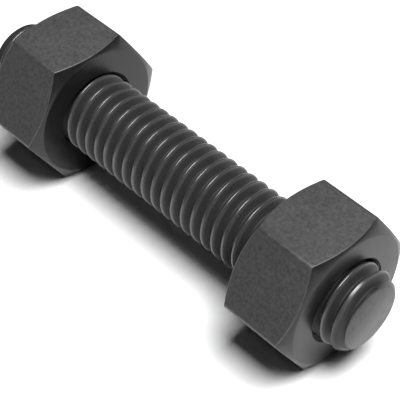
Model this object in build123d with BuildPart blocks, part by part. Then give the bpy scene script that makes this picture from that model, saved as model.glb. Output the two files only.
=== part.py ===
"""Fully threaded 7/16-14 stud with a heavy hex nut on each end, lying on a flat of both nuts.

The stud runs along X with its front end at +X, and Z is up from the surface that it lies on.
"""

import math
import os

from build123d import *

# Stud, in millimetres and degrees
thread_diameter = 10.97  # major diameter, 7/16 inch less the external thread's tolerance
threads_per_inch = 14
flank_angle = 30.0  # each side of a groove, from square to the axis
crest_share = 0.125  # flat on top of the thread, as a share of the pitch
stud_length = 65.0
end_chamfer = 1.1  # 45 degree lead, most of the way down the thread
first_crest = 1.82  # rear end to the first crest on the upper side

# Heavy hex nuts
across_flats = 19.05
nut_height = 10.5
corner_angle = 30.0  # of the cone that trims the corners, from the nut's face
face_share = 0.955  # diameter of the flat end face, as a share of the width across flats
bore_clearance = 0.05  # all round, between the bore and the thread's crests
countersink = 0.42  # 45 degree countersink at both mouths of the bore

# Where the nuts stand on the stud
grip_length = 34.5  # between the two bearing faces
front_protrusion = 3.65  # stud end past the front nut

# Sizes that follow
inch = 25.4
pitch = inch / threads_per_inch
thread_radius = thread_diameter / 2
crest_width = crest_share * pitch
thread_depth = (pitch - crest_width) / 2 / math.tan(math.radians(flank_angle))
axis_height = across_flats / 2
front_end = stud_length / 2
rear_end = -stud_length / 2
front_nut_start = front_end - front_protrusion - nut_height
rear_nut_start = front_nut_start - grip_length - nut_height
face_radius = face_share * across_flats / 2
corner_radius = across_flats / math.sqrt(3)
cone_drop = (corner_radius - face_radius) * math.tan(math.radians(corner_angle))


def across_axis(x):
    """Plane square to the stud at x, centred on its axis, with its own x to +Y."""
    return Plane(origin=(x, 0, axis_height), x_dir=(0, 1, 0), z_dir=(1, 0, 0))


def screw(crest_radius, root_radius, crest_width, lead, turns):
    """Right-hand screw along +Z with a flat crest and a sharp root, its first crest starting on +X.

    Each turn is three ruled faces between four helices. A helicoid down to the axis and a half
    section close each end.
    """
    outline = [(crest_radius, 0), (crest_radius, crest_width), (root_radius, (lead + crest_width) / 2)]
    helices = []
    for turn in range(turns):
        for radius, rise in outline:
            start = (0, 0, turn * lead + rise)
            helices.append(Edge.make_helix(lead, lead, radius, center=start))
    helices.append(Edge.make_helix(lead, lead, crest_radius, center=(0, 0, turns * lead)))
    faces = []
    for lower, upper in zip(helices[:-1], helices[1:]):
        faces.append(Face.make_surface_from_curves(lower, upper))
    for base, helix in ((0, helices[0]), (turns * lead, helices[-1])):
        core = Edge.make_line((0, 0, base), (0, 0, base + lead))
        faces.append(Face.make_surface_from_curves(helix, core))
        section = [(0, 0, base)]
        section += [(radius, 0, base + rise) for radius, rise in outline]
        section += [(crest_radius, 0, base + lead), (0, 0, base + lead)]
        faces.append(Face(Wire.make_polygon(section, close=True)))
    return Solid(Shell(faces))


# Upright plane through the stud's axis, with its own x along the stud
along_axis = Plane(origin=(0, 0, axis_height), x_dir=(1, 0, 0), z_dir=(0, -1, 0))

# The screw overruns the stud at both ends, where the chamfered blank trims it
overrun_turns = 2
blank_margin = 0.05  # the blank's side stands clear of the crests, so only its ends cut
turns = math.ceil(stud_length / pitch) + 2 * overrun_turns
screw_start = rear_end + first_crest - crest_width / 2 - overrun_turns * pitch
screw_plane = Plane(origin=(screw_start, 0, axis_height), x_dir=(0, 0, 1), z_dir=(1, 0, 0))
root_radius = thread_radius - thread_depth
long_screw = screw(thread_radius, root_radius, crest_width, pitch, turns).moved(screw_plane.location)

with BuildPart() as threaded_stud:
    with BuildSketch(along_axis):
        with BuildLine():
            Polyline(
                (rear_end, 0),
                (rear_end, thread_radius - end_chamfer),
                (rear_end + end_chamfer + blank_margin, thread_radius + blank_margin),
                (front_end - end_chamfer - blank_margin, thread_radius + blank_margin),
                (front_end, thread_radius - end_chamfer),
                (front_end, 0),
                close=True,
            )
        make_face()
    revolve(axis=Axis((0, 0, axis_height), (1, 0, 0)))
    add(long_screw, mode=Mode.INTERSECT)

os.makedirs("parts", exist_ok=True)
threaded_stud.part.label = "threaded_stud"
export_step(threaded_stud.part, "parts/threaded_stud.step")

# Both nuts are the same, and each is symmetric end for end
for nut_name, nut_start in (("front_nut", front_nut_start), ("rear_nut", rear_nut_start)):
    nut_end = nut_start + nut_height

    with BuildPart() as nut:
        with BuildSketch(across_axis(nut_start)):
            RegularPolygon(across_flats / 2, 6, major_radius=False)
            Circle(thread_radius + bore_clearance, mode=Mode.SUBTRACT)
        extrude(amount=nut_height)
        chamfer(nut.edges().filter_by(GeomType.CIRCLE), countersink)
        # A cone at each end trims the six corners and leaves a round end face
        with BuildSketch(along_axis):
            with BuildLine():
                Polyline(
                    (nut_start, 0),
                    (nut_start, face_radius),
                    (nut_start + cone_drop, corner_radius),
                    (nut_end - cone_drop, corner_radius),
                    (nut_end, face_radius),
                    (nut_end, 0),
                    close=True,
                )
            make_face()
        revolve(axis=Axis((0, 0, axis_height), (1, 0, 0)), mode=Mode.INTERSECT)

    nut.part.label = nut_name
    export_step(nut.part, f"parts/{nut_name}.step")
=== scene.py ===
"""Dresses a packed stud and its two heavy hex nuts, and sets a plain stage round them."""

import math

import bmesh
import bpy
from mathutils import Matrix, Vector


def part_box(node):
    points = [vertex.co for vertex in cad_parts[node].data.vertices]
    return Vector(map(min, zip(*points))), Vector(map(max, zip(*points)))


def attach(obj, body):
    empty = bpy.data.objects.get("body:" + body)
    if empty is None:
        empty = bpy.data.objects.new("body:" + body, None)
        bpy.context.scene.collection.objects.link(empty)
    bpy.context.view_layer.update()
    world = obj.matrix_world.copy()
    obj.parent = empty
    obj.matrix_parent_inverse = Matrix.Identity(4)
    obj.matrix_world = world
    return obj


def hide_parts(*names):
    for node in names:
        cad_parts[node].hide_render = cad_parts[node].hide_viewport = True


bl_info = {
    "name": "Stud with Hex Nuts",
    "version": (1, 0, 0),
    "blender": (4, 5, 0),
    "location": "View3D > Sidebar > Stud",
    "description": "A threaded stud with two heavy hex nuts, its finishes and its stage",
    "category": "Add Mesh",
}

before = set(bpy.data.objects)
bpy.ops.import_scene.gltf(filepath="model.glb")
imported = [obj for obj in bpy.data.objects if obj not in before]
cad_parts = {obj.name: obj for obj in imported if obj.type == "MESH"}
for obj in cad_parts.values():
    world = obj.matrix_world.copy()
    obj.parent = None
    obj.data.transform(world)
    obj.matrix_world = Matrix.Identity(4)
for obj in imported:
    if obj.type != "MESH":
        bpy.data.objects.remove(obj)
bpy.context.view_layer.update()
STUD_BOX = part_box("threaded_stud")
NUT_BODIES = {"front_nut": "front", "rear_nut": "rear"}
NUT_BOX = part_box("front_nut")

MM = 0.001
AXIS_HEIGHT = (NUT_BOX[0].z + NUT_BOX[1].z) / 2
STUD_RADIUS = (STUD_BOX[1].z - STUD_BOX[0].z) / 2
ACROSS_FLATS = NUT_BOX[1].z - NUT_BOX[0].z
ALONG_STUD = Vector((1, 0, 0))
ON_AXIS = Vector((0, 0, AXIS_HEIGHT))
FLANK_ANGLE = math.radians(30)
LEAD_DEGREES = 45
FULL_TURN = 2 * math.pi
HEX_TURN = FULL_TURN / 6

# Facets of the turned and threaded shapes
LATHE_SEGMENTS = 192
ARC_STEPS = 4
FLANK_STEPS = 2
SHOULDER_STEP_DEGREES = 5

# Which faces of a piece take which finish, by the lean of the normal and the distance out
SQUARE_TO_STUD = 0.99
CONE_OR_FACE = 0.85
PARALLEL_TO_STUD = 0.03
FLAT_TOLERANCE = math.radians(2)
BORE_REACH = 0.33 * ACROSS_FLATS
CUT_TOLERANCE = 0.01 * MM
FLAT, END_FACE, ROUNDED_EDGE, BORE = range(4)

# Most of a noise's values lie between these two
NOISE_LOW, NOISE_HIGH = 0.3, 0.7

# Height on the thread, from groove to crest, where the rubbed finish starts and is complete
THREAD_SHADE_DEPTH = 1.1 * MM
RUBBED_FROM, RUBBED_FULL = 0.78, 0.94

# Colour sockets of the Mix node
MIX_FACTOR, MIX_FIRST, MIX_SECOND = 0, 6, 7
MIX_RESULT = 2

# Stage, in metres. The seen floor is over 1, so that the camera has it as plain white.
FLOOR_SIZE = 3.0
SEEN_FLOOR = (1.45, 1.45, 1.45, 1)
LAMP_PLACE = (0.225, 0.03, 0.84)
LAMP_SIZE = (0.51, 0.444)
SENSOR_WIDTH = 36  # millimetres, like the lens

# Where the camera looks: along the stud, then to its own right and up
AIM_ALONG = 9.22 * MM
AIM_RIGHT = -3.72 * MM
AIM_UP = 1.47 * MM


# Sizes, finishes and stage settings that a user would change


class StudSizes(bpy.types.PropertyGroup):
    """Sizes of the threaded bar."""

    pitch: bpy.props.FloatProperty(
        name="Pitch", description="Advance of the thread in one turn",
        default=25.4 / 14 * MM, min=0.5 * MM, subtype="DISTANCE", precision=5)
    crest_flat: bpy.props.FloatProperty(
        name="Crest Flat", description="Flat on top of the thread, as a share of the pitch",
        default=0.125, min=0.02, max=0.4, subtype="FACTOR")
    root_radius: bpy.props.FloatProperty(
        name="Root Radius", description="Rounding at the bottom of the groove",
        default=0.18 * MM, min=0, subtype="DISTANCE", precision=5)
    crest_rounding: bpy.props.FloatProperty(
        name="Crest Rounding", description="Radius of both edges of the crest",
        default=0.19 * MM, min=0, subtype="DISTANCE", precision=5)
    first_crest: bpy.props.FloatProperty(
        name="First Crest", description="Rear end to the first crest on the upper side",
        default=1.82 * MM, subtype="DISTANCE", precision=5)
    end_chamfer: bpy.props.FloatProperty(
        name="End Chamfer", description="Lead cut at 45 degrees on each end",
        default=1.1 * MM, min=0, subtype="DISTANCE", precision=5)
    shoulder_rounding: bpy.props.FloatProperty(
        name="Shoulder Rounding",
        description="Radius that wear has put where the lead meets the crests",
        default=2.2 * MM, min=0, subtype="DISTANCE", precision=5)
    end_rounding: bpy.props.FloatProperty(
        name="End Rounding", description="Rounding where the end face meets the chamfer",
        default=0.12 * MM, min=0, subtype="DISTANCE", precision=5)
    steps_per_turn: bpy.props.IntProperty(
        name="Steps per Turn", description="Facets round one turn of the thread",
        default=72, min=12, max=128)


class NutSizes(bpy.types.PropertyGroup):
    """Sizes of the heavy hex nuts."""

    corner_angle: bpy.props.FloatProperty(
        name="Corner Angle", description="Slope of the cone that trims the corners",
        default=math.radians(30), subtype="ANGLE")
    face_share: bpy.props.FloatProperty(
        name="Face Share", description="Round end face, as a share of the width across flats",
        default=0.955, min=0.7, max=1.1, subtype="FACTOR")
    bore_clearance: bpy.props.FloatProperty(
        name="Bore Clearance", description="Gap all round between the bore and the thread's crests",
        default=0.05 * MM, min=0, subtype="DISTANCE", precision=5)
    countersink: bpy.props.FloatProperty(
        name="Countersink", description="Depth of the 45 degree countersink at both mouths",
        default=0.42 * MM, min=0, subtype="DISTANCE", precision=5)
    thread_relief: bpy.props.FloatProperty(
        name="Thread Relief", description="Depth of the helical grooves in the bore",
        default=0.4 * MM, min=0, subtype="DISTANCE", precision=5)
    corner_rounding: bpy.props.FloatProperty(
        name="Corner Rounding", description="Rounding of the six long corners",
        default=0.3 * MM, min=0, subtype="DISTANCE", precision=5)
    edge_rounding: bpy.props.FloatProperty(
        name="Edge Rounding", description="Rounding of the trimmed edges",
        default=0.1 * MM, min=0, subtype="DISTANCE", precision=5)


class Finishes(bpy.types.PropertyGroup):
    """Colours and roughness of the blackened steel."""

    forged_color: bpy.props.FloatVectorProperty(
        name="Forged Colour", description="The nuts' flats, forged, tumbled and blackened",
        default=(0.107, 0.107, 0.109), size=3, min=0, max=1, subtype="COLOR")
    forged_roughness: bpy.props.FloatProperty(
        name="Forged Roughness", description="Middle of the flats' roughness",
        default=0.6, min=0, max=1, subtype="FACTOR")
    rubbed_color: bpy.props.FloatVectorProperty(
        name="Rubbed Colour", description="Edges of the nuts, polished by handling",
        default=(0.12, 0.12, 0.122), size=3, min=0, max=1, subtype="COLOR")
    rubbed_roughness: bpy.props.FloatProperty(
        name="Rubbed Roughness", description="Gloss of the nuts' edges, 0 for a mirror",
        default=0.42, min=0, max=1, subtype="FACTOR")
    turned_color: bpy.props.FloatVectorProperty(
        name="Turned Colour", description="The nuts' end faces, turned before blackening",
        default=(0.045, 0.045, 0.046), size=3, min=0, max=1, subtype="COLOR")
    turned_roughness: bpy.props.FloatProperty(
        name="Turned Roughness", description="Middle of the end faces' roughness",
        default=0.33, min=0, max=1, subtype="FACTOR")
    # Painted shade: this colour makes the bore and countersinks near black, as shade in the hole.
    bore_shade_color: bpy.props.FloatVectorProperty(
        name="Bore Colour", description="Bore and countersinks of the nuts, dark with oil",
        default=(0.02, 0.02, 0.02), size=3, min=0, max=1, subtype="COLOR")
    # Painted shade: this colour darkens the bottom of the thread's grooves, as shade in the
    # creases.
    groove_shade_color: bpy.props.FloatVectorProperty(
        name="Groove Colour", description="Bottom of the thread, where oil and oxide stay",
        default=(0.042, 0.042, 0.043), size=3, min=0, max=1, subtype="COLOR")
    crest_color: bpy.props.FloatVectorProperty(
        name="Crest Colour", description="Crests of the thread, rubbed a little brighter",
        default=(0.165, 0.165, 0.167), size=3, min=0, max=1, subtype="COLOR")
    groove_roughness: bpy.props.FloatProperty(
        name="Groove Roughness", description="Roughness of the thread's flanks and grooves",
        default=0.6, min=0, max=1, subtype="FACTOR")
    thread_roughness: bpy.props.FloatProperty(
        name="Thread Roughness", description="Roughness of the thread's rubbed crests",
        default=0.26, min=0, max=1, subtype="FACTOR")
    sawn_color: bpy.props.FloatVectorProperty(
        name="Sawn Colour", description="The stud's flat ends, thinly blackened",
        default=(0.088, 0.088, 0.09), size=3, min=0, max=1, subtype="COLOR")
    sawn_roughness: bpy.props.FloatProperty(
        name="Sawn Roughness", description="Middle of the flat ends' roughness",
        default=0.34, min=0, max=1, subtype="FACTOR")


class StageSettings(bpy.types.PropertyGroup):
    """Floor, light and camera."""

    floor_color: bpy.props.FloatVectorProperty(
        name="Floor Colour", description="Pale floor under the part",
        default=(0.5, 0.5, 0.5), size=3, min=0, max=1, subtype="COLOR")
    fill_light: bpy.props.FloatProperty(
        name="Fill Light", description="Strength of the even light from all round",
        default=0.005, min=0)
    lamp_power: bpy.props.FloatProperty(
        name="Lamp Power", description="Power of the softbox overhead",
        default=8.4, min=0, unit="POWER")
    azimuth: bpy.props.FloatProperty(
        name="Azimuth", description="Camera's bearing, from behind -Y towards +X",
        default=math.radians(47.59), subtype="ANGLE")
    elevation: bpy.props.FloatProperty(
        name="Elevation", description="Camera's height above the horizon",
        default=math.radians(46.94), subtype="ANGLE")
    roll: bpy.props.FloatProperty(
        name="Roll", description="Turn of the camera about its own line of sight",
        default=math.radians(-1.29), subtype="ANGLE")
    distance: bpy.props.FloatProperty(
        name="Distance", description="Camera to the point that it looks at",
        default=172.7 * MM, subtype="DISTANCE", precision=5)
    lens: bpy.props.FloatProperty(
        name="Lens", description="Focal length of the camera, in millimetres",
        default=125.2, min=10)


SETTING_GROUPS = {
    "stud_sizes": StudSizes,
    "nut_sizes": NutSizes,
    "stud_finishes": Finishes,
    "stud_stage": StageSettings,
}


# Modelling


def new_piece(name, shape):
    """Makes an object of the bmesh at the origin and frees the bmesh."""
    mesh = bpy.data.meshes.new(name)
    shape.to_mesh(mesh)
    shape.free()
    piece = bpy.data.objects.new(name, mesh)
    bpy.context.scene.collection.objects.link(piece)
    return piece


def wire(outline):
    """A bmesh with one open line of edges through (along, radius) points, above the stud's axis."""
    shape = bmesh.new()
    points = [shape.verts.new((along, 0, AXIS_HEIGHT + radius)) for along, radius in outline]
    for start, end in zip(points[:-1], points[1:]):
        shape.edges.new((start, end))
    return shape


def lathe(name, outline):
    """A closed solid turned about the stud's axis from an outline that starts and ends on it."""
    shape = wire(outline)
    bmesh.ops.spin(
        shape, geom=shape.verts[:] + shape.edges[:], cent=ON_AXIS, axis=ALONG_STUD,
        angle=FULL_TURN, steps=LATHE_SEGMENTS, use_merge=True)
    bmesh.ops.remove_doubles(shape, verts=shape.verts, dist=MM * 1e-4)
    bmesh.ops.recalc_face_normals(shape, faces=shape.faces)
    return new_piece(name, shape)


def screw(name, outline, start, end, pitch, steps_per_turn):
    """A closed right-hand screw from start to end.

    Its outline is one pitch long, from the middle of one crest to the middle of the next.
    """
    shape = wire(outline)
    bmesh.ops.spin(
        shape, geom=shape.verts[:] + shape.edges[:], cent=ON_AXIS, axis=ALONG_STUD,
        dvec=ALONG_STUD * pitch / steps_per_turn, angle=FULL_TURN, steps=steps_per_turn)
    first_turn = shape.verts[:] + shape.edges[:] + shape.faces[:]
    for turn in range(1, math.ceil((end - outline[0][0]) / pitch) + 1):
        copy = bmesh.ops.duplicate(shape, geom=first_turn)
        moved = [part for part in copy["geom"] if isinstance(part, bmesh.types.BMVert)]
        bmesh.ops.translate(shape, verts=moved, vec=ALONG_STUD * pitch * turn)
    bmesh.ops.remove_doubles(shape, verts=shape.verts, dist=pitch * 1e-3)
    for cut, outward in ((start, -ALONG_STUD), (end, ALONG_STUD)):
        bmesh.ops.bisect_plane(
            shape, geom=shape.verts[:] + shape.edges[:] + shape.faces[:],
            plane_co=(cut, 0, 0), plane_no=outward, clear_outer=True)
        rim = [edge for edge in shape.edges if edge.is_boundary
               and all(abs(vert.co.x - cut) < pitch * 1e-3 for vert in edge.verts)]
        bmesh.ops.contextual_create(shape, geom=rim)
    bmesh.ops.recalc_face_normals(shape, faces=shape.faces)
    return new_piece(name, shape)


def thread_outline(start, crest_radius, sizes):
    """One pitch of a 60 degree thread as (along, radius) points, crest middle to crest middle.

    The crest's edges and the root are arcs, tangent to the flanks.
    """
    half_crest = sizes.crest_flat * sizes.pitch / 2
    slope = math.tan(FLANK_ANGLE)
    lean = math.pi / 2 - FLANK_ANGLE
    edge = min(sizes.crest_rounding, half_crest / math.tan(lean / 2))
    edge_centre = half_crest - edge * math.tan(lean / 2)
    root = sizes.root_radius
    root_centre = (sizes.pitch / 2 - half_crest) / slope - root / math.sin(FLANK_ANGLE)
    side = [(0, 0)]
    for step in range(ARC_STEPS + 1):
        turn = lean * step / ARC_STEPS
        side.append((edge_centre + edge * math.sin(turn), edge * (math.cos(turn) - 1)))
    arc = []
    for step in range(ARC_STEPS + 1):
        turn = lean * (1 - step / ARC_STEPS)
        arc.append((sizes.pitch / 2 - root * math.sin(turn), -root_centre - root * math.cos(turn)))
    top, bottom = Vector(side[-1]), Vector(arc[0])
    for step in range(1, FLANK_STEPS):
        side.append(tuple(top.lerp(bottom, step / FLANK_STEPS)))
    side += arc
    far_side = [(sizes.pitch - along, drop) for along, drop in reversed(side[:-1])]
    return [(start + along, crest_radius + drop) for along, drop in side + far_side]


def trim(piece, tool, operation):
    """Intersects or cuts the piece with the tool, and deletes the tool."""
    before = len(piece.data.vertices), len(piece.data.polygons)
    cut = piece.modifiers.new("trim", "BOOLEAN")
    cut.operation = operation
    cut.solver = "MANIFOLD"
    cut.object = tool
    settle(piece)
    bpy.data.objects.remove(tool)
    after = len(piece.data.vertices), len(piece.data.polygons)
    if after == before or 0 in after:
        raise RuntimeError(f"trimming {piece.name} left it whole or empty")


def settle(piece):
    """Replaces the piece's mesh by its evaluated one and drops its modifiers."""
    depsgraph = bpy.context.evaluated_depsgraph_get()
    mesh = bpy.data.meshes.new_from_object(piece.evaluated_get(depsgraph))
    piece.modifiers.clear()
    piece.data = mesh


def round_edges(piece, width, least_degrees=20, segments=2):
    """Rounds every edge that is sharper than the given angle."""
    rounding = piece.modifiers.new("rounding", "BEVEL")
    rounding.width = width
    rounding.segments = segments
    rounding.limit_method = "ANGLE"
    rounding.angle_limit = math.radians(least_degrees)
    rounding.use_clamp_overlap = True
    settle(piece)


def shade(piece, sharp_degrees=32):
    """Smooth shading with the sharp edges kept."""
    piece.data.shade_smooth()
    piece.data.set_sharp_from_angle(angle=math.radians(sharp_degrees))


def coat(piece, materials, pick):
    """Gives the piece its materials. For each face, pick returns a place in their list."""
    mesh = piece.data
    mesh.materials.clear()
    for material in materials:
        mesh.materials.append(material)
    for face in mesh.polygons:
        face.material_index = pick(face)


# Finishes


def add_node(tree, kind, inputs=None, **settings):
    """A node with its settings and unlinked inputs set."""
    node = tree.nodes.new(kind)
    for name, value in settings.items():
        setattr(node, name, value)
    for name, value in (inputs or {}).items():
        node.inputs[name].default_value = value
    return node


def scaled(color, share):
    """The colour, darker or lighter by a share of itself."""
    return [channel * share for channel in color]


class Steel:
    """A blackened steel: its node tree, and the textures that every finish starts from."""

    def __init__(self, name, roughness, metallic=0.0, specular=0.5):
        self.material = bpy.data.materials.new(name)
        self.material.use_nodes = True
        self.tree = self.material.node_tree
        self.surface = self.tree.nodes["Principled BSDF"]
        self.surface.inputs["Metallic"].default_value = metallic
        self.surface.inputs["Specular IOR Level"].default_value = specular
        self.roughness = roughness
        self.place = self.node("ShaderNodeTexCoord").outputs["Object"]

    def node(self, kind, inputs=None, **settings):
        return add_node(self.tree, kind, inputs, **settings)

    def link(self, output, socket):
        self.tree.links.new(output, socket)

    def noise(self, size, detail=4.0, roughness=0.6):
        """Noise of a size in metres, from 0 to 1."""
        texture = self.node("ShaderNodeTexNoise",
                            {"Scale": 1 / size, "Detail": detail, "Roughness": roughness})
        self.link(self.place, texture.inputs["Vector"])
        return texture.outputs["Fac"]

    def rings(self, size):
        """Noise of a size in metres that changes only with the distance from the stud's axis."""
        texture = self.node("ShaderNodeTexNoise", {"Scale": 1 / size, "Detail": 2.0},
                            noise_dimensions="1D")
        self.link(self.radius(), texture.inputs["W"])
        return texture.outputs["Fac"]

    def ramp(self, value, low_color, high_color, low=NOISE_LOW, high=NOISE_HIGH):
        """A colour that changes where the value goes from low to high."""
        ramp = self.node("ShaderNodeValToRGB")
        stops = ramp.color_ramp.elements
        for stop, position, color in zip(stops, (low, high), (low_color, high_color)):
            stop.position = position
            stop.color = (*color, 1)
        self.link(value, ramp.inputs["Fac"])
        return ramp.outputs["Color"]

    def veil(self, value, least, low=NOISE_LOW, high=NOISE_HIGH):
        """A grey from the least share up to white, to multiply a colour by."""
        return self.ramp(value, (least,) * 3, (1, 1, 1), low, high)

    def remap(self, value, low, high, to_low, to_high):
        """The value, mapped from one range to another and held inside it."""
        mapped = self.node("ShaderNodeMapRange", {
            "From Min": low, "From Max": high, "To Min": to_low, "To Max": to_high})
        self.link(value, mapped.inputs["Value"])
        return mapped.outputs["Result"]

    def multiply(self, first, second):
        """The product of two colours."""
        product = self.node("ShaderNodeMix", data_type="RGBA", blend_type="MULTIPLY")
        product.inputs[MIX_FACTOR].default_value = 1.0
        self.link(first, product.inputs[MIX_FIRST])
        self.link(second, product.inputs[MIX_SECOND])
        return product.outputs[MIX_RESULT]

    def radius(self):
        """Distance from the stud's axis, in metres."""
        centred = self.node("ShaderNodeMapping", {
            "Location": (0, 0, -AXIS_HEIGHT), "Scale": (0, 1, 1)})
        self.link(self.place, centred.inputs["Vector"])
        length = self.node("ShaderNodeVectorMath", operation="LENGTH")
        self.link(centred.outputs["Vector"], length.inputs[0])
        return length.outputs["Value"]

    def relief(self, height, depth, strength, below=None):
        """Bump of a depth in metres, on top of another bump where one is given."""
        bump = self.node("ShaderNodeBump", {"Strength": strength, "Distance": depth})
        self.link(height, bump.inputs["Height"])
        if below:
            self.link(below, bump.inputs["Normal"])
        return bump.outputs["Normal"]

    def gloss(self, pattern, spread):
        """The steel's roughness, moved by the pattern as far as the spread each way."""
        return self.remap(pattern, NOISE_LOW, NOISE_HIGH,
                          self.roughness - spread, self.roughness + spread)

    def finish(self, color, roughness, normal):
        """Links the colour, the roughness and the bump, and returns the material."""
        self.link(color, self.surface.inputs["Base Color"])
        self.link(roughness, self.surface.inputs["Roughness"])
        self.link(normal, self.surface.inputs["Normal"])
        return self.material


def forged_steel(finishes):
    """Flats of a forged nut, tumbled and blackened: a fine mottled grain and cloudy patches."""
    steel = Steel("forged_black", finishes.forged_roughness, metallic=0.1, specular=0.15)
    grain = steel.noise(0.42 * MM, detail=3.0, roughness=0.55)
    cloud = steel.noise(3.5 * MM, detail=3.0)
    color = finishes.forged_color
    mottled = steel.ramp(grain, scaled(color, 0.76), scaled(color, 1.24))
    patchy = steel.multiply(mottled, steel.veil(cloud, 0.88))
    return steel.finish(patchy, steel.gloss(cloud, 0.06), steel.relief(grain, 0.03 * MM, 0.5))


def rubbed_steel(finishes):
    """Rounded edges and corners of the nuts, where handling has polished the black."""
    steel = Steel("rubbed_black", finishes.rubbed_roughness, metallic=0.4)
    wear = steel.noise(0.8 * MM)
    grain = steel.noise(0.42 * MM, detail=3.0, roughness=0.55)
    color = finishes.rubbed_color
    worn = steel.ramp(wear, scaled(color, 0.75), scaled(color, 1.15), low=0.35, high=0.65)
    return steel.finish(worn, steel.gloss(wear, 0.06), steel.relief(grain, 0.015 * MM, 0.4))


def bored_steel(finishes):
    """Bore, internal thread and countersinks of the nuts, painted near black as shade in the hole.
    """
    steel = Steel("bore_black", finishes.forged_roughness, specular=0.3)
    bore_mottle = steel.noise(0.5 * MM, detail=3.0)
    # Painted shade: the bore and countersinks are near black, so the gap round the stud reads as
    # shade.
    color = finishes.bore_shade_color
    painted_bore_shade = steel.ramp(bore_mottle, scaled(color, 0.8), scaled(color, 1.2))
    return steel.finish(painted_bore_shade, steel.gloss(bore_mottle, 0.08), steel.relief(bore_mottle, 0.01 * MM, 0.3))


def turned_steel(finishes):
    """End faces of the nuts: fine turning rings round the bore under a thin black oxide."""
    steel = Steel("turned_black", finishes.turned_roughness, metallic=0.6)
    rings = steel.rings(0.22 * MM)
    grain = steel.noise(0.5 * MM)
    cloud = steel.noise(2.5 * MM)
    color = finishes.turned_color
    mottled = steel.ramp(cloud, scaled(color, 0.82), scaled(color, 1.12))
    ringed = steel.multiply(mottled, steel.veil(rings, 0.88))
    grainy = steel.relief(grain, 0.012 * MM, 0.2)
    return steel.finish(ringed, steel.gloss(cloud, 0.06),
                        steel.relief(rings, 0.01 * MM, 0.35, grainy))


def threaded_steel(finishes):
    """Cut thread: painted shade darkens the grooves, the crests are rubbed brighter by wear,
    scuffed here and there.
    """
    steel = Steel("thread_black", finishes.thread_roughness)
    height = steel.remap(steel.radius(), STUD_RADIUS - THREAD_SHADE_DEPTH, STUD_RADIUS, 0.0, 1.0)
    scuff = steel.noise(0.35 * MM, roughness=0.65)
    cloud = steel.noise(2.2 * MM, detail=3.0)
    # Painted shade: the colour darkens with depth into the grooves; the brighter crests are wear.
    slope = steel.ramp(height, finishes.groove_shade_color, finishes.crest_color, low=0.62, high=0.96)
    scuffed = steel.multiply(slope, steel.veil(scuff, 0.78, low=0.32, high=0.68))
    patchy = steel.multiply(scuffed, steel.veil(cloud, 0.8))
    metal = steel.remap(height, RUBBED_FROM, RUBBED_FULL, 0.05, 0.5)
    steel.link(metal, steel.surface.inputs["Metallic"])
    rough = steel.remap(height, RUBBED_FROM, RUBBED_FULL,
                        finishes.groove_roughness, steel.roughness)
    return steel.finish(patchy, rough, steel.relief(scuff, 0.012 * MM, 0.25))


def sawn_steel(finishes):
    """Flat ends of the stud: faint facing rings, thinly blackened and a little blotchy."""
    steel = Steel("faced_black", finishes.sawn_roughness, metallic=0.4, specular=0.3)
    rings = steel.rings(0.3 * MM)
    blotch = steel.noise(1.3 * MM)
    grain = steel.noise(0.3 * MM, detail=3.0)
    color = finishes.sawn_color
    patches = steel.ramp(blotch, scaled(color, 0.72), scaled(color, 1.08), low=0.4, high=0.6)
    ringed = steel.multiply(patches, steel.veil(rings, 0.9))
    grainy = steel.relief(grain, 0.015 * MM, 0.4)
    return steel.finish(ringed, steel.gloss(blotch, 0.08),
                        steel.relief(rings, 0.01 * MM, 0.3, grainy))


# Operators


class STUD_OT_bar(bpy.types.Operator):
    """Model the threaded bar and chamfer its ends"""

    bl_idname = "stud.bar"
    bl_label = "Threaded Bar"

    def execute(self, context):
        sizes = context.scene.stud_sizes
        finishes = context.scene.stud_finishes
        rear, front = STUD_BOX[0].x, STUD_BOX[1].x
        overrun = sizes.pitch
        lead_turns = math.ceil((sizes.first_crest + overrun) / sizes.pitch) + 1
        start = rear + sizes.first_crest - lead_turns * sizes.pitch
        outline = thread_outline(start, STUD_RADIUS, sizes)
        bar = screw("threaded_bar", outline, rear - overrun, front + overrun,
                    sizes.pitch, sizes.steps_per_turn)
        lead, shoulder = self.end_profile(sizes)
        end = lead + shoulder + [(shoulder[-1][0], STUD_RADIUS + overrun)]
        outline = [(rear + along, radius) for along, radius in end]
        outline += [(front - along, radius) for along, radius in reversed(end)]
        trim(bar, lathe("bar_blank", outline), "INTERSECT")
        coat(bar, [threaded_steel(finishes), sawn_steel(finishes)],
             lambda face: int(self.is_faced(face, lead)))
        shade(bar)
        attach(bar, "stud")
        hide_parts("threaded_stud")
        return {"FINISHED"}

    def end_profile(self, sizes):
        """Two lists of (distance from the end, radius) points: the lead, and the worn shoulder."""
        end_radius = STUD_RADIUS - sizes.end_chamfer
        rounding = sizes.end_rounding
        worn = sizes.shoulder_rounding
        tangent = worn * math.tan(math.radians(LEAD_DEGREES / 2))
        shoulder = []
        for degrees in range(LEAD_DEGREES, 0, -SHOULDER_STEP_DEGREES):
            turn = math.radians(degrees)
            shoulder.append((sizes.end_chamfer + tangent - worn * math.sin(turn),
                             STUD_RADIUS - worn * (1 - math.cos(turn))))
        lead = [(0, 0), (0, end_radius - rounding),
                (rounding * 0.3, end_radius - rounding * 0.3),
                (rounding, end_radius + rounding), shoulder[0]]
        return lead, shoulder[1:]

    def is_faced(self, face, lead):
        """True for the flat ends and for the faces that the lead has cut."""
        if abs(face.normal.x) > SQUARE_TO_STUD:
            return True
        along = min(face.center.x - STUD_BOX[0].x, STUD_BOX[1].x - face.center.x)
        radius = math.hypot(face.center.y, face.center.z - AXIS_HEIGHT)
        for (near, low), (far, high) in zip(lead[:-1], lead[1:]):
            if near <= along < far:
                cut = low + (high - low) * (along - near) / (far - near)
                return abs(radius - cut) < CUT_TOLERANCE
        return False


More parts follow.
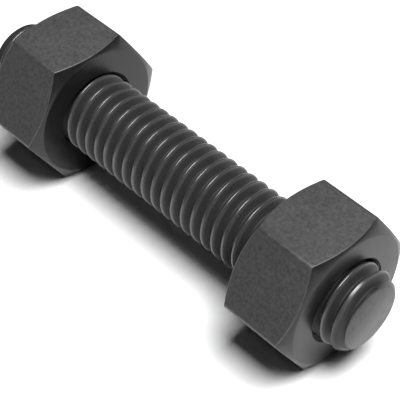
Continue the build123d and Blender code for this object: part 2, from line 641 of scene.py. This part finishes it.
class STUD_OT_nuts(bpy.types.Operator):
    """Model both heavy hex nuts"""

    bl_idname = "stud.nuts"
    bl_label = "Heavy Hex Nuts"

    def execute(self, context):
        finishes = context.scene.stud_finishes
        materials = [None] * 4
        materials[FLAT] = forged_steel(finishes)
        materials[END_FACE] = turned_steel(finishes)
        materials[ROUNDED_EDGE] = rubbed_steel(finishes)
        materials[BORE] = bored_steel(finishes)
        for node, body in NUT_BODIES.items():
            low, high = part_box(node)
            nut = self.forging(context, node + "_forging", low.x, high.x)
            coat(nut, materials, self.finish_of)
            shade(nut)
            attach(nut, body)
            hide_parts(node)
        return {"FINISHED"}

    def finish_of(self, face):
        """Place of the face's material: the cones count as end faces, the countersinks as bore."""
        lean = abs(face.normal.x)
        if lean > CONE_OR_FACE:
            return END_FACE
        if math.hypot(face.center.y, face.center.z - AXIS_HEIGHT) < BORE_REACH:
            return BORE
        off_flat = math.atan2(face.normal.y, face.normal.z) % HEX_TURN
        off_flat = min(off_flat, HEX_TURN - off_flat)
        return FLAT if off_flat < FLAT_TOLERANCE and lean < PARALLEL_TO_STUD else ROUNDED_EDGE

    def forging(self, context, name, start, end):
        """One nut: a hexagonal slug, trimmed by a cone at each end, drilled and threaded."""
        sizes = context.scene.nut_sizes
        thread = context.scene.stud_sizes
        corner_radius = ACROSS_FLATS / math.sqrt(3)
        shape = bmesh.new()
        across = Matrix.Translation((start, 0, AXIS_HEIGHT)) @ Matrix.Rotation(math.pi / 2, 4, "Y")
        bmesh.ops.create_circle(
            shape, cap_ends=True, segments=6, radius=corner_radius, matrix=across)
        slug = bmesh.ops.extrude_face_region(shape, geom=shape.faces[:])
        top = [part for part in slug["geom"] if isinstance(part, bmesh.types.BMVert)]
        bmesh.ops.translate(shape, verts=top, vec=(end - start, 0, 0))
        corners = [edge for edge in shape.edges
                   if abs(edge.verts[0].co.x - edge.verts[1].co.x) > (end - start) / 2]
        bmesh.ops.bevel(shape, geom=corners, offset=sizes.corner_rounding, affect="EDGES",
                        segments=4, profile=0.5, material=-1)
        bmesh.ops.recalc_face_normals(shape, faces=shape.faces)
        nut = new_piece(name, shape)

        face_radius = sizes.face_share * ACROSS_FLATS / 2
        overrun = 1.5 * MM
        drop = (corner_radius + overrun - face_radius) * math.tan(sizes.corner_angle)
        cone = [(0, 0), (0, face_radius), (drop, corner_radius + overrun)]
        outline = [(start + along, radius) for along, radius in cone]
        outline += [(end - along, radius) for along, radius in reversed(cone)]
        trim(nut, lathe(name + "_cones", outline), "INTERSECT")
        round_edges(nut, sizes.edge_rounding)

        bore = STUD_RADIUS + sizes.bore_clearance
        mouth = bore + sizes.countersink
        sink = [(-overrun, 0), (-overrun, mouth + overrun), (sizes.countersink, bore)]
        outline = [(start + along, radius) for along, radius in sink]
        outline += [(end - along, radius) for along, radius in reversed(sink)]
        trim(nut, lathe(name + "_bore", outline), "DIFFERENCE")

        groove = thread_outline(start - 2 * thread.pitch, bore + sizes.thread_relief, thread)
        tap = screw(name + "_tap", groove, start - thread.pitch / 2, end + thread.pitch / 2,
                    thread.pitch, thread.steps_per_turn)
        trim(nut, tap, "DIFFERENCE")
        return nut


class STUD_OT_stage(bpy.types.Operator):
    """Lay the floor and set the light and the camera"""

    bl_idname = "stud.stage"
    bl_label = "Stage"

    def execute(self, context):
        settings = context.scene.stud_stage
        self.floor(settings)
        self.world(context, settings)
        self.lamp(context, "overhead_softbox", settings.lamp_power)
        self.camera(context, settings)
        context.scene.view_settings.view_transform = "Standard"
        return {"FINISHED"}

    def floor(self, settings):
        """A wide pale floor that reads as white to the camera and keeps the part's shadow."""
        shape = bmesh.new()
        bmesh.ops.create_grid(shape, x_segments=1, y_segments=1, size=FLOOR_SIZE)
        floor = new_piece("floor", shape)
        material = bpy.data.materials.new("pale_floor")
        material.use_nodes = True
        tree = material.node_tree
        surface = tree.nodes["Principled BSDF"]
        surface.inputs["Roughness"].default_value = 0.9
        surface.inputs["Specular IOR Level"].default_value = 0.0
        tone = add_node(tree, "ShaderNodeMix", data_type="RGBA")
        tone.inputs[MIX_FIRST].default_value = (*settings.floor_color, 1)
        tone.inputs[MIX_SECOND].default_value = SEEN_FLOOR
        tree.links.new(self.seen_directly(tree), tone.inputs[MIX_FACTOR])
        tree.links.new(tone.outputs[MIX_RESULT], surface.inputs["Base Color"])
        floor.data.materials.append(material)

    def world(self, context, settings):
        """Dim even fill light from all round."""
        world = bpy.data.worlds.new("studio")
        context.scene.world = world
        world.use_nodes = True
        tree = world.node_tree
        glow = tree.nodes["Background"]
        glow.inputs["Strength"].default_value = settings.fill_light
        glow.inputs["Color"].default_value = (1, 1, 1, 1)

    def seen_directly(self, tree):
        """1 for camera, glossy and transmission rays, 0 for light that the floor scatters."""
        rays = add_node(tree, "ShaderNodeLightPath")
        either = rays.outputs["Is Camera Ray"]
        for kind in ("Is Glossy Ray", "Is Transmission Ray"):
            larger = add_node(tree, "ShaderNodeMath", operation="MAXIMUM")
            tree.links.new(either, larger.inputs[0])
            tree.links.new(rays.outputs[kind], larger.inputs[1])
            either = larger.outputs["Value"]
        return either

    def lamp(self, context, name, power):
        """A soft rectangular lamp, aimed at the part."""
        data = bpy.data.lights.new(name, "AREA")
        data.shape = "RECTANGLE"
        data.size, data.size_y = LAMP_SIZE
        data.energy = power
        lamp = bpy.data.objects.new(name, data)
        context.scene.collection.objects.link(lamp)
        lamp.location = LAMP_PLACE
        lamp.rotation_euler = (Vector(LAMP_PLACE) - ON_AXIS).to_track_quat("Z", "Y").to_euler()

    def camera(self, context, settings):
        """A long lens, turned and placed by the stage's settings."""
        data = bpy.data.cameras.new("camera")
        data.lens = settings.lens
        data.sensor_width = SENSOR_WIDTH
        data.clip_start = 0.01
        camera = bpy.data.objects.new("camera", data)
        context.scene.collection.objects.link(camera)
        level = math.cos(settings.elevation)
        back = Vector((math.sin(settings.azimuth) * level, -math.cos(settings.azimuth) * level,
                       math.sin(settings.elevation)))
        right = Vector((0, 0, 1)).cross(back).normalized()
        up = back.cross(right)
        turn = settings.roll
        right, up = (right * math.cos(turn) + up * math.sin(turn),
                     up * math.cos(turn) - right * math.sin(turn))
        aim = Vector((AIM_ALONG, 0, AXIS_HEIGHT)) + right * AIM_RIGHT + up * AIM_UP
        pose = Matrix((right, up, back)).transposed().to_4x4()
        pose.translation = aim + back * settings.distance
        camera.matrix_world = pose
        context.scene.camera = camera


class STUD_PT_panel(bpy.types.Panel):
    """Lists the operators and their settings"""

    bl_idname = "STUD_PT_panel"
    bl_label = "Stud with Hex Nuts"
    bl_space_type = "VIEW_3D"
    bl_region_type = "UI"
    bl_category = "Stud"

    def draw(self, context):
        for operator in PIECE_OPERATORS:
            self.layout.operator(operator.bl_idname)
        for name, group in SETTING_GROUPS.items():
            box = self.layout.box()
            box.label(text=group.__doc__)
            for field in group.__annotations__:
                box.prop(getattr(context.scene, name), field)


PIECE_OPERATORS = (STUD_OT_bar, STUD_OT_nuts, STUD_OT_stage)
CLASSES = (*SETTING_GROUPS.values(), *PIECE_OPERATORS, STUD_PT_panel)


def register():
    for cls in CLASSES:
        bpy.utils.register_class(cls)
    for name, group in SETTING_GROUPS.items():
        setattr(bpy.types.Scene, name, bpy.props.PointerProperty(type=group))


def unregister():
    for name in SETTING_GROUPS:
        delattr(bpy.types.Scene, name)
    for cls in reversed(CLASSES):
        bpy.utils.unregister_class(cls)


def main():
    register()
    bpy.ops.stud.bar()
    bpy.ops.stud.nuts()
    bpy.ops.stud.stage()


if __name__ == "__main__":
    main()
